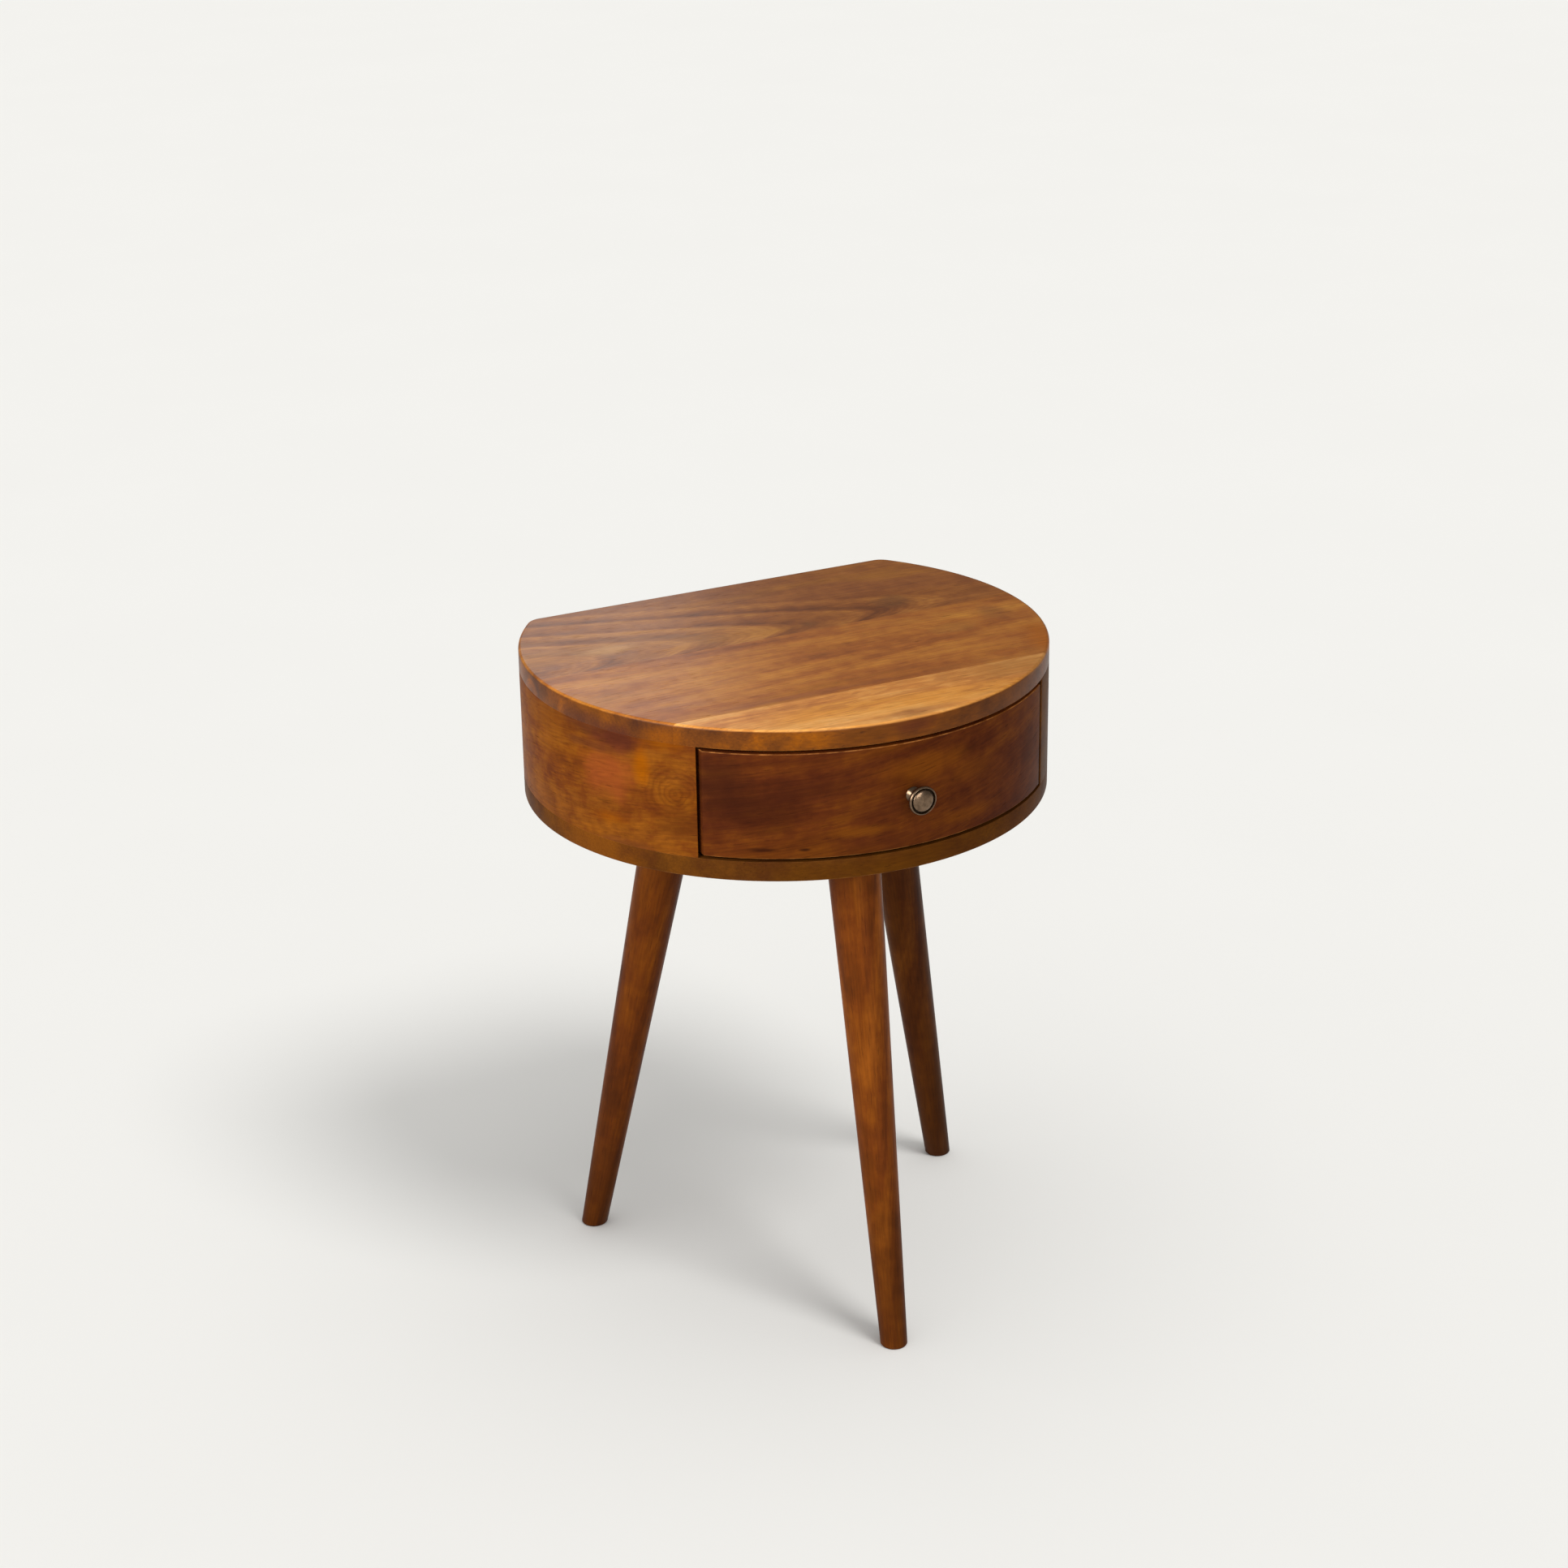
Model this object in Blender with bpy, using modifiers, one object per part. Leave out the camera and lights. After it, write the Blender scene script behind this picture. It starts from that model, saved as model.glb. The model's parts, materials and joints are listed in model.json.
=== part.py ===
"""Half-round side table with one curved drawer, on three splayed turned legs.

Units are metres and +Z is up. The drawer opens towards -Y. Left is -X, as seen from the front.
The origin is on the floor, under the middle of the table's bounding box.
"""

import math

import bmesh
import bpy
from mathutils import Matrix, Vector

# Driving dimensions of the whole table
WIDTH = 0.450
BODY_DEPTH = 0.370
HEIGHT = 0.566
BODY_HEIGHT = 0.1295
CORNER_RADIUS = 0.016
GAP = 0.0003

# Thicknesses
PANEL = 0.017
WALL = 0.020
DRAWER_SIDE = 0.012
DRAWER_FLOOR = 0.005

# Drawer
OPENING_HALF = 0.159
SIDE_REVEAL = 0.003
TOP_REVEAL = 0.003
BOTTOM_REVEAL = 0.0025
DRAWER_BOX_HALF = 0.151
DRAWER_BOX_TOP = 0.084
DRAWER_FLOOR_HEIGHT = 0.007
GROOVE_DEPTH = 0.005
DRAWER_TRAVEL = 0.200
REAR_SPACE = 0.010
KNOB_REACH = 0.0195

# Knob
KNOB_RADIUS = 0.01225
DOME_RADIUS = 0.0093
DOME_RISE = 0.0026

# Inner strips, which guide, steady and stop the drawer
STRIP_REACH = 0.105
GUIDE_CLEARANCE = 0.0008
GUIDE_WIDTH = 0.017
GUIDE_HEIGHT = 0.020
KICKER_CLEARANCE = 0.0015
KICKER_INNER = 0.135
KICKER_OUTER = 0.160
STOP_CLEARANCE = 0.0005
STOP_RAIL_HALF = 0.134
STOP_RAIL_DEPTH = 0.018
STOP_RAIL_OVERLAP = 0.007
REAR_STOP_INNER = 0.100
REAR_STOP_OUTER = 0.125
REAR_STOP_HEIGHT = 0.030

# Legs: a regular tripod, turned a little on the body, with its middle just in front of the arc's centre
LEG_TOP_RADIUS = 0.023
LEG_FOOT_RADIUS = 0.0115
LEG_TOP_REACH = 0.110
LEG_FOOT_REACH = 0.198
TRIPOD_FORWARD = 0.0315
TRIPOD_TURN = math.radians(-5.8)

# Hardware
DOWEL_RADIUS = 0.004
DOWEL_LENGTH = 0.029
DOWEL_IN_PANEL = 0.010
THIN_DOWEL_RADIUS = 0.003
THIN_DOWEL_LENGTH = 0.024
BOLT_RADIUS = 0.004
BOLT_IN_LEG = 0.045
BOLT_IN_PANEL = 0.0125
INSERT_RADIUS = 0.006
INSERT_START = 0.0015
INSERT_END = 0.0135
SCREW_RADIUS = 0.0016
SCREW_HEAD_RADIUS = 0.0034
SCREW_HEAD_DEPTH = 0.0020
LONG_SCREW = 0.030
RAIL_SCREW = 0.028
SHORT_SCREW = 0.020
KNOB_SCREW_RADIUS = 0.0020
KNOB_SCREW_IN_KNOB = 0.0065
KNOB_SCREW_HEAD_RADIUS = 0.0038
KNOB_SCREW_HEAD_HEIGHT = 0.0024
WASHER_RADIUS = 0.005
WASHER_THICKNESS = 0.001

# Places of the fastenings
WALL_DOWEL_ANGLES = (56, 108)
BACK_DOWEL_X = 0.100
GUIDE_SCREW_REACH = 0.080
KICKER_SCREW_REACH = 0.075
RAIL_SCREW_X = 0.090
DRAWER_DOWEL_ABOVE_FLOOR = 0.014
DRAWER_DOWEL_BELOW_TOP = 0.016
DRAWER_SCREW_INSET = 0.018

# Roundings
TOP_EDGE = 0.0025
LOWER_EDGE = 0.0015
DRAWER_EDGE = 0.0012
FOOT_EDGE = 0.0012

# Worked out from the above
RADIUS = WIDTH / 2
INNER_RADIUS = RADIUS - WALL
FLAT = BODY_DEPTH - RADIUS
ARC_Y = (RADIUS + GAP + KNOB_REACH - FLAT) / 2
BACK_Y = ARC_Y + FLAT
BACK_INSIDE_Y = BACK_Y - PANEL
BODY_LOW = HEIGHT - BODY_HEIGHT
INSIDE_LOW = BODY_LOW + PANEL
INSIDE_HIGH = HEIGHT - PANEL
CORNER_ANGLE = math.pi - math.acos((FLAT - CORNER_RADIUS) / (RADIUS - CORNER_RADIUS))
CORNER_X = math.sqrt((RADIUS - CORNER_RADIUS) ** 2 - (FLAT - CORNER_RADIUS) ** 2)
BACK_PANEL_HALF = CORNER_X - CORNER_RADIUS
FRONT_HALF = OPENING_HALF - SIDE_REVEAL
FRONT_LOW = INSIDE_LOW + BOTTOM_REVEAL
FRONT_HIGH = INSIDE_HIGH - TOP_REVEAL
BOX_LOW = INSIDE_LOW + GAP
BOX_HIGH = INSIDE_LOW + DRAWER_BOX_TOP
BOX_INSIDE = DRAWER_BOX_HALF - DRAWER_SIDE
BOX_BACK_Y = BACK_INSIDE_Y - REAR_SPACE
BOX_BACK_FRONT_Y = BOX_BACK_Y - DRAWER_SIDE
FLOOR_LOW = INSIDE_LOW + DRAWER_FLOOR_HEIGHT
FLOOR_HIGH = FLOOR_LOW + DRAWER_FLOOR
KNOB_Z = (FRONT_LOW + FRONT_HIGH) / 2
SIDES = (("left", -1), ("right", 1))

TABLE = "half_round_side_table"


def clear_scene():
    for obj in list(bpy.data.objects):
        bpy.data.objects.remove(obj, do_unlink=True)


def new_collection(name):
    collection = bpy.data.collections.new(name)
    bpy.context.scene.collection.children.link(collection)
    return collection


def material(name, colour, roughness, metallic=0.0):
    found = bpy.data.materials.new(name)
    found.use_nodes = True
    shader = found.node_tree.nodes["Principled BSDF"]
    shader.inputs["Base Color"].default_value = (*colour, 1)
    shader.inputs["Roughness"].default_value = roughness
    shader.inputs["Metallic"].default_value = metallic
    return found


def add_object(name, mesh, finish):
    """A new piece, or a cutter where it has no finish."""
    obj = bpy.data.objects.new(name, mesh)
    if finish is None:
        cutters.objects.link(obj)
        obj.hide_render = True
        obj.display_type = "WIRE"
    else:
        pieces.objects.link(obj)
        mesh.materials.append(finish)
    return obj


def on_arc(radius, angle):
    """The point at that angle from the front, positive to the right, on a circle round the arc's centre."""
    return (radius * math.sin(angle), ARC_Y - radius * math.cos(angle))


def arc(radius, start, end, steps):
    return [on_arc(radius, start + (end - start) * i / steps) for i in range(steps + 1)]


def arc_depth(radius, x):
    """The Y of the circle's front half at that X."""
    return ARC_Y - math.sqrt(radius**2 - x**2)


def back_corner(steps):
    """The rounded right corner, from the end of the front arc to the flat back."""
    centre_y = BACK_Y - CORNER_RADIUS
    turn = math.pi - CORNER_ANGLE
    angles = [CORNER_ANGLE + turn * i / steps for i in range(1, steps + 1)]
    return [(CORNER_X + CORNER_RADIUS * math.sin(a), centre_y - CORNER_RADIUS * math.cos(a)) for a in angles]


def mirrored(outline, side):
    return outline if side > 0 else [(-x, y) for x, y in reversed(outline)]


def slab(name, outline, low, high, finish):
    """A flat piece with an outline that runs anticlockwise, between two heights."""
    curve = bpy.data.curves.new(name, "CURVE")
    curve.dimensions = "2D"
    curve.fill_mode = "BOTH"
    curve.extrude = (high - low) / 2
    spline = curve.splines.new("POLY")
    spline.points.add(len(outline) - 1)
    for point, (x, y) in zip(spline.points, outline):
        point.co = (x, y, 0, 1)
    spline.use_cyclic_u = True
    flat = bpy.data.objects.new(name + "_outline", curve)
    flat.location.z = (low + high) / 2
    pieces.objects.link(flat)
    graph = bpy.context.evaluated_depsgraph_get()
    mesh = bpy.data.meshes.new_from_object(flat.evaluated_get(graph))
    mesh.name = name
    weld(mesh)
    obj = add_object(name, mesh, finish)
    obj.location = flat.location
    bpy.data.objects.remove(flat, do_unlink=True)
    return obj


def weld(mesh):
    shape = bmesh.new()
    shape.from_mesh(mesh)
    bmesh.ops.remove_doubles(shape, verts=shape.verts, dist=0.00001)
    shape.to_mesh(mesh)
    shape.free()


def block(name, low, high, finish):
    """A rectangular piece between two opposite corners."""
    size = Vector(high) - Vector(low)
    shape = bmesh.new()
    bmesh.ops.create_cube(shape, size=1)
    bmesh.ops.scale(shape, vec=size, verts=shape.verts)
    mesh = bpy.data.meshes.new(name)
    shape.to_mesh(mesh)
    shape.free()
    obj = add_object(name, mesh, finish)
    obj.location = (Vector(low) + Vector(high)) / 2
    return obj


def turned(name, profile, finish, steps=24):
    """A piece turned round its own Z axis, from (radius, height) points that run from top to bottom."""
    mesh = bpy.data.meshes.new(name)
    edges = [(i, i + 1) for i in range(len(profile) - 1)]
    mesh.from_pydata([(radius, 0, height) for radius, height in profile], edges, [])
    obj = add_object(name, mesh, finish)
    screw = obj.modifiers.new("turn", "SCREW")
    screw.steps = steps
    screw.render_steps = steps
    screw.use_merge_vertices = True
    screw.merge_threshold = 0.00002
    return obj


def point_along(obj, start, direction):
    """Puts a turned piece's origin at a point, with its Z axis along a direction."""
    obj.location = start
    obj.rotation_mode = "QUATERNION"
    obj.rotation_quaternion = Vector(direction).to_track_quat("Z", "Y")


def rod(name, radius, start, end, finish, steps=16):
    """A round rod between two points."""
    length = (Vector(end) - Vector(start)).length
    obj = turned(name, [(0, length), (radius, length), (radius, 0), (0, 0)], finish, steps)
    point_along(obj, start, Vector(end) - Vector(start))
    return obj


def boolean(obj, cutter, operation="DIFFERENCE"):
    modifier = obj.modifiers.new(operation.lower() + "_" + cutter.name, "BOOLEAN")
    modifier.operation = operation
    modifier.object = cutter


def soften(obj, width, height=None):
    """Rounds a piece's sharp edges, or only those at one height of its own mesh."""
    shape = bmesh.new()
    shape.from_mesh(obj.data)
    sharp = [e for e in shape.edges if e.calc_face_angle() > math.radians(40)]
    if height is not None:
        sharp = [e for e in sharp if all(abs(v.co.z - height) < GAP for v in e.verts)]
    bmesh.ops.bevel(shape, geom=sharp, offset=width, segments=3, profile=0.5, affect="EDGES")
    shape.to_mesh(obj.data)
    shape.free()


def shade(obj):
    obj.data.shade_smooth()
    obj.data.set_sharp_from_angle(angle=math.radians(30))


def make_panel(name, low, high, rounded, width):
    outline = arc(RADIUS, -CORNER_ANGLE, CORNER_ANGLE, 72) + back_corner(6)
    outline += [(-x, y) for x, y in reversed(back_corner(6))]
    panel = slab(name, outline, low, high, table_wood)
    soften(panel, width, rounded * (high - low) / 2)
    shade(panel)
    return panel


def make_side(name, side):
    """A curved wall, from the drawer opening round the back corner to the back panel."""
    start = math.asin(OPENING_HALF / RADIUS)
    inner_start = math.asin(OPENING_HALF / INNER_RADIUS)
    inner_end = math.pi - math.acos((FLAT - PANEL) / INNER_RADIUS)
    outline = arc(RADIUS, start, CORNER_ANGLE, 24) + back_corner(6)
    outline += [(BACK_PANEL_HALF, BACK_Y), (BACK_PANEL_HALF, BACK_INSIDE_Y)]
    outline += arc(INNER_RADIUS, inner_end, inner_start, 22)
    wall = slab(name, mirrored(outline, side), INSIDE_LOW + GAP, INSIDE_HIGH - GAP, table_wood)
    shade(wall)
    return wall


def make_back_panel():
    half = BACK_PANEL_HALF - GAP
    low = (-half, BACK_INSIDE_Y, INSIDE_LOW + GAP)
    return block("back_panel", low, (half, BACK_Y, INSIDE_HIGH - GAP), table_wood)


def add_dowel(name, radius, start, end, holders):
    """A dowel between two points, and its hole, a little longer, in each piece that holds it."""
    rod(name, radius, start, end, dowel_wood)
    along = (Vector(end) - Vector(start)).normalized() * GAP
    hole = rod(name + "_hole", radius + GAP, Vector(start) - along, Vector(end) + along, None)
    for holder in holders:
        boolean(holder, hole)


def add_carcass_dowels(top, bottom, walls, back):
    """Upright dowels from the side walls and the back panel into the top and the bottom panel."""
    middle = RADIUS - WALL / 2
    places = [(f"{name}_side", walls[name], on_arc(middle, side * math.radians(angle)), number)
              for name, side in SIDES for number, angle in enumerate(WALL_DOWEL_ANGLES, 1)]
    back_middle = BACK_Y - PANEL / 2
    places += [("back_panel", back, (side * BACK_DOWEL_X, back_middle), number)
               for number, (_, side) in enumerate(SIDES, 1)]
    in_wall = DOWEL_LENGTH - DOWEL_IN_PANEL
    for name, wall, (x, y), number in places:
        for end, panel, level, up in (("top", top, INSIDE_HIGH, 1), ("bottom", bottom, INSIDE_LOW, -1)):
            start = (x, y, level - up * in_wall)
            finish = (x, y, level + up * DOWEL_IN_PANEL)
            add_dowel(f"{name}_{end}_dowel_{number}", DOWEL_RADIUS, start, finish, (wall, panel))


def make_leg(name, top, foot):
    """A turned leg whose two ends are cut level."""
    top_centre = Vector((*top, BODY_LOW))
    foot_centre = Vector((*foot, 0))
    length = (top_centre - foot_centre).length
    spare = LEG_TOP_RADIUS / 2
    growth = (LEG_TOP_RADIUS - LEG_FOOT_RADIUS) / length * spare
    profile = [
        (0, length + spare),
        (LEG_TOP_RADIUS + growth, length + spare),
        (LEG_FOOT_RADIUS - growth, -spare),
        (0, -spare),
    ]
    leg = turned(name, profile, leg_wood, 40)
    point_along(leg, foot_centre, top_centre - foot_centre)
    boolean(leg, leg_room, "INTERSECT")
    rounding = leg.modifiers.new("foot edge", "BEVEL")
    rounding.width = FOOT_EDGE
    rounding.segments = 2
    rounding.angle_limit = math.radians(60)
    return leg, top_centre, (top_centre - foot_centre).normalized()


def add_leg_hardware(name, leg, panel, joint, up):
    """A hanger bolt in the leg, and the threaded insert that it screws into, in the bottom panel."""
    rod(name + "_bolt", BOLT_RADIUS, joint - up * BOLT_IN_LEG, joint + up * BOLT_IN_PANEL, steel)
    below = joint - up * (BOLT_IN_LEG + GAP)
    boolean(leg, rod(name + "_bolt_hole", BOLT_RADIUS + GAP, below, joint + up * PANEL, None))
    bore = BOLT_RADIUS + GAP
    sleeve = [
        (bore, INSERT_END),
        (INSERT_RADIUS, INSERT_END),
        (INSERT_RADIUS, INSERT_START),
        (bore, INSERT_START),
        (bore, INSERT_END),
    ]
    point_along(turned(name + "_insert", sleeve, brass), joint, up)
    start = joint - up * INSERT_RADIUS
    end = joint + up * (INSERT_END + GAP)
    boolean(panel, rod(name + "_insert_hole", INSERT_RADIUS + GAP, start, end, None, 24))


def tripod_point(reach, angle):
    """A point at that distance from the tripod's middle, at that angle from the front."""
    x, y = on_arc(reach, angle + TRIPOD_TURN)
    return (x, y - TRIPOD_FORWARD)


def add_legs(panel):
    third = math.tau / 3
    for name, angle in (("front_leg", 0), ("back_left_leg", -third), ("back_right_leg", third)):
        top = tripod_point(LEG_TOP_REACH, angle)
        foot = tripod_point(LEG_FOOT_REACH, angle)
        leg, joint, up = make_leg(name, top, foot)
        add_leg_hardware(name, leg, panel, joint, up)


def add_screw(name, head, direction, length, holders):
    """A countersunk screw from its head's face along a direction, and its hole in the pieces it joins."""
    def profile(extra):
        return [
            (0, extra),
            (SCREW_HEAD_RADIUS + extra, extra),
            (SCREW_RADIUS + extra, -SCREW_HEAD_DEPTH),
            (SCREW_RADIUS + extra, 2 * SCREW_RADIUS - length - extra),
            (0, -length - extra),
        ]

    back = -Vector(direction)
    point_along(turned(name, profile(0), steel, 12), head, back)
    hole = turned(name + "_hole", profile(GAP), None, 12)
    point_along(hole, head, back)
    for holder in holders:
        boolean(holder, hole)


def make_guides(panel):
    """Strips beside the drawer, screwed down to the bottom panel."""
    inner = DRAWER_BOX_HALF + GUIDE_CLEARANCE
    outer = inner + GUIDE_WIDTH
    high = BOX_LOW + GUIDE_HEIGHT
    for name, side in SIDES:
        low_x, high_x = sorted((side * inner, side * outer))
        low = (low_x, ARC_Y - STRIP_REACH, BOX_LOW)
        guide = block(f"{name}_drawer_guide", low, (high_x, ARC_Y + STRIP_REACH, high), inner_wood)
        for number, y in ((1, -GUIDE_SCREW_REACH), (2, GUIDE_SCREW_REACH)):
            head = ((low_x + high_x) / 2, ARC_Y + y, high - GAP)
            screw_name = f"{name}_guide_screw_{number}"
            add_screw(screw_name, head, (0, 0, -1), LONG_SCREW, (guide, panel))


def make_kickers(panel):
    """Strips under the top panel, just over the drawer sides, which keep the drawer from tipping."""
    low_z = BOX_HIGH + KICKER_CLEARANCE
    for name, side in SIDES:
        low_x, high_x = sorted((side * KICKER_INNER, side * KICKER_OUTER))
        low = (low_x, ARC_Y - STRIP_REACH, low_z)
        kicker = block(f"{name}_kicker", low, (high_x, BOX_BACK_Y, INSIDE_HIGH - GAP), inner_wood)
        for number, y in ((1, -KICKER_SCREW_REACH), (2, KICKER_SCREW_REACH)):
            head = ((low_x + high_x) / 2, ARC_Y + y, low_z + GAP)
            add_screw(f"{name}_kicker_screw_{number}", head, (0, 0, 1), SHORT_SCREW, (kicker, panel))


def make_stop_rail(panel):
    """The strip that the drawer back meets when the drawer is fully out."""
    low_z = BOX_HIGH - STOP_RAIL_OVERLAP
    back_y = BOX_BACK_FRONT_Y - DRAWER_TRAVEL - STOP_CLEARANCE
    front_y = back_y - STOP_RAIL_DEPTH
    low = (-STOP_RAIL_HALF, front_y, low_z)
    rail = block("stop_rail", low, (STOP_RAIL_HALF, back_y, INSIDE_HIGH - GAP), inner_wood)
    for number, side in ((1, -1), (2, 1)):
        head = (side * RAIL_SCREW_X, (front_y + back_y) / 2, low_z + GAP)
        add_screw(f"stop_rail_screw_{number}", head, (0, 0, 1), RAIL_SCREW, (rail, panel))


def make_rear_stops():
    """Blocks behind the drawer, which stop it flush with the body."""
    high_z = INSIDE_LOW + REAR_STOP_HEIGHT
    for name, side in SIDES:
        low_x, high_x = sorted((side * REAR_STOP_INNER, side * REAR_STOP_OUTER))
        low = (low_x, BOX_BACK_Y + STOP_CLEARANCE, INSIDE_LOW + GAP)
        block(f"{name}_rear_stop", low, (high_x, BACK_INSIDE_Y - GAP, high_z), inner_wood)


def make_drawer_front():
    half_angle = math.asin(FRONT_HALF / RADIUS)
    inner_angle = math.asin(FRONT_HALF / INNER_RADIUS)
    outline = arc(RADIUS, -half_angle, half_angle, 40) + arc(INNER_RADIUS, inner_angle, -inner_angle, 40)
    front = slab("drawer_front", outline, FRONT_LOW, FRONT_HIGH, front_wood)
    soften(front, DRAWER_EDGE)
    shade(front)
    groove_radius = INNER_RADIUS + GROOVE_DEPTH
    groove_half = BOX_INSIDE + GROOVE_DEPTH
    groove_angle = math.asin(groove_half / groove_radius)
    groove = arc(groove_radius, -groove_angle, groove_angle, 24)
    groove += [(groove_half, ARC_Y), (-groove_half, ARC_Y)]
    boolean(front, slab("front_groove", groove, FLOOR_LOW - GAP, FLOOR_HIGH + GAP, None))
    return front


def make_drawer_sides(front):
    """The two straight sides, whose front ends follow the inside of the curved front."""
    inner = BOX_INSIDE
    outer = DRAWER_BOX_HALF
    radius = INNER_RADIUS - GAP
    outline = [
        (inner, arc_depth(radius, inner)),
        (outer, arc_depth(radius, outer)),
        (outer, BOX_BACK_Y),
        (inner, BOX_BACK_Y),
    ]
    dowel_heights = (FLOOR_HIGH + DRAWER_DOWEL_ABOVE_FLOOR, BOX_HIGH - DRAWER_DOWEL_BELOW_TOP)
    for name, side in SIDES:
        board = slab(f"drawer_{name}_side", mirrored(outline, side), BOX_LOW, BOX_HIGH, box_wood)
        low_x, high_x = sorted((side * (inner - GAP), side * (inner + GROOVE_DEPTH)))
        low = (low_x, ARC_Y - RADIUS, FLOOR_LOW - GAP)
        boolean(board, block(f"{name}_groove", low, (high_x, BACK_Y, FLOOR_HIGH + GAP), None))
        x = side * (inner + outer) / 2
        y = arc_depth(INNER_RADIUS, x)
        for number, z in enumerate(dowel_heights, 1):
            start = (x, y - THIN_DOWEL_LENGTH / 2, z)
            end = (x, y + THIN_DOWEL_LENGTH / 2, z)
            add_dowel(f"drawer_{name}_dowel_{number}", THIN_DOWEL_RADIUS, start, end, (front, board))
        yield name, side, board


def make_drawer_back(sides):
    half = BOX_INSIDE - GAP
    low = (-half, BOX_BACK_FRONT_Y, FLOOR_HIGH + GAP)
    back = block("drawer_back", low, (half, BOX_BACK_Y, BOX_HIGH), box_wood)
    screw_heights = (FLOOR_HIGH + DRAWER_SCREW_INSET, BOX_HIGH - DRAWER_SCREW_INSET)
    for name, side, board in sides:
        for number, z in enumerate(screw_heights, 1):
            head = (side * (DRAWER_BOX_HALF - GAP), BOX_BACK_Y - DRAWER_SIDE / 2, z)
            screw_name = f"drawer_{name}_screw_{number}"
            add_screw(screw_name, head, (-side, 0, 0), LONG_SCREW, (board, back))


def make_drawer_bottom():
    half = BOX_INSIDE + GROOVE_DEPTH - GAP
    radius = INNER_RADIUS + GROOVE_DEPTH - GAP
    angle = math.asin(half / radius)
    outline = arc(radius, -angle, angle, 32) + [(half, BOX_BACK_Y), (-half, BOX_BACK_Y)]
    slab("drawer_bottom", outline, FLOOR_LOW, FLOOR_HIGH, plywood)


def make_knob():
    """A disc with a thin raised rim round a low dome, on a short neck that flares into a foot."""
    turns = [math.pi / 2 * i / 6 for i in range(7)]
    dome = [(DOME_RADIUS * math.sin(turn), DOME_RISE * (1 - math.cos(turn))) for turn in turns]
    groove_and_rim = [(0.0100, 0.0031), (0.0105, 0.0023), (0.0111, 0.0019), (0.0117, 0.0023)]
    band = [(KNOB_RADIUS, 0.0038), (0.0119, 0.0053), (0.0104, 0.0064)]
    neck = [(0.0062, 0.0078), (0.0043, 0.0098), (0.0037, 0.0128), (0.0043, 0.0158), (0.0058, 0.0178)]
    foot = [(0.0064, 0.0190), (0.0063, KNOB_REACH)]
    profile = [(radius, KNOB_REACH - depth) for radius, depth in dome + groove_and_rim + band + neck + foot]
    bore = KNOB_SCREW_RADIUS + GAP
    bore_end = KNOB_SCREW_IN_KNOB + WASHER_THICKNESS
    profile += [(bore, 0), (bore, bore_end), (0, bore_end)]
    knob = turned("knob", profile, brass, 32)
    point_along(knob, (0, ARC_Y - RADIUS - GAP, KNOB_Z), (0, -1, 0))


def add_knob_screw(front):
    """The machine screw that holds the knob, from inside the drawer, with a washer under its head."""
    inside_y = ARC_Y - INNER_RADIUS
    hole_end = (0, inside_y + WALL, KNOB_Z)
    hole_start = (0, inside_y - 2 * WALL, KNOB_Z)
    boolean(front, rod("knob_screw_hole", KNOB_SCREW_RADIUS + GAP, hole_start, hole_end, None))
    washer = [
        (KNOB_SCREW_RADIUS + GAP, WASHER_THICKNESS),
        (WASHER_RADIUS, WASHER_THICKNESS),
        (WASHER_RADIUS, 0),
        (KNOB_SCREW_RADIUS + GAP, 0),
        (KNOB_SCREW_RADIUS + GAP, WASHER_THICKNESS),
    ]
    point_along(turned("knob_washer", washer, steel), (0, inside_y + GAP, KNOB_Z), (0, 1, 0))
    head_y = inside_y + WASHER_THICKNESS + 2 * GAP
    tip = ARC_Y - RADIUS - GAP - KNOB_SCREW_IN_KNOB - head_y
    screw = [
        (0, KNOB_SCREW_HEAD_HEIGHT),
        (KNOB_SCREW_HEAD_RADIUS * 0.6, KNOB_SCREW_HEAD_HEIGHT),
        (KNOB_SCREW_HEAD_RADIUS, KNOB_SCREW_HEAD_HEIGHT / 2),
        (KNOB_SCREW_HEAD_RADIUS, 0),
        (KNOB_SCREW_RADIUS, 0),
        (KNOB_SCREW_RADIUS, tip),
        (0, tip),
    ]
    point_along(turned("knob_screw", screw, steel, 16), (0, head_y, KNOB_Z), (0, 1, 0))


def hang_drawer_on_slide():
    """Parents the drawer's pieces to an empty, which moves along -Y to open the drawer."""
    slide = bpy.data.objects.new("drawer_slide", None)
    slide.location = (0, ARC_Y - RADIUS, KNOB_Z)
    pieces.objects.link(slide)
    back_to_rest = Matrix.Translation(-slide.location)
    for obj in pieces.objects:
        if obj.name.startswith(("drawer_", "knob")) and obj is not slide:
            obj.parent = slide
            obj.matrix_parent_inverse = back_to_rest


clear_scene()
pieces = new_collection(TABLE)
cutters = new_collection("cutters")
cutters.hide_render = True

table_wood = material("chestnut_wood", (0.28, 0.095, 0.022), 0.35)
front_wood = material("dark_chestnut_wood", (0.20, 0.055, 0.014), 0.35)
leg_wood = material("turned_leg_wood", (0.23, 0.07, 0.014), 0.35)
inner_wood = material("plain_inner_wood", (0.45, 0.26, 0.12), 0.6)
box_wood = material("drawer_box_wood", (0.40, 0.20, 0.08), 0.55)
plywood = material("drawer_bottom_plywood", (0.50, 0.33, 0.17), 0.6)
dowel_wood = material("dowel_beech", (0.62, 0.42, 0.24), 0.6)
brass = material("antique_brass", (0.30, 0.24, 0.17), 0.35, 1.0)
steel = material("plated_steel", (0.55, 0.55, 0.54), 0.35, 1.0)

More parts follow.
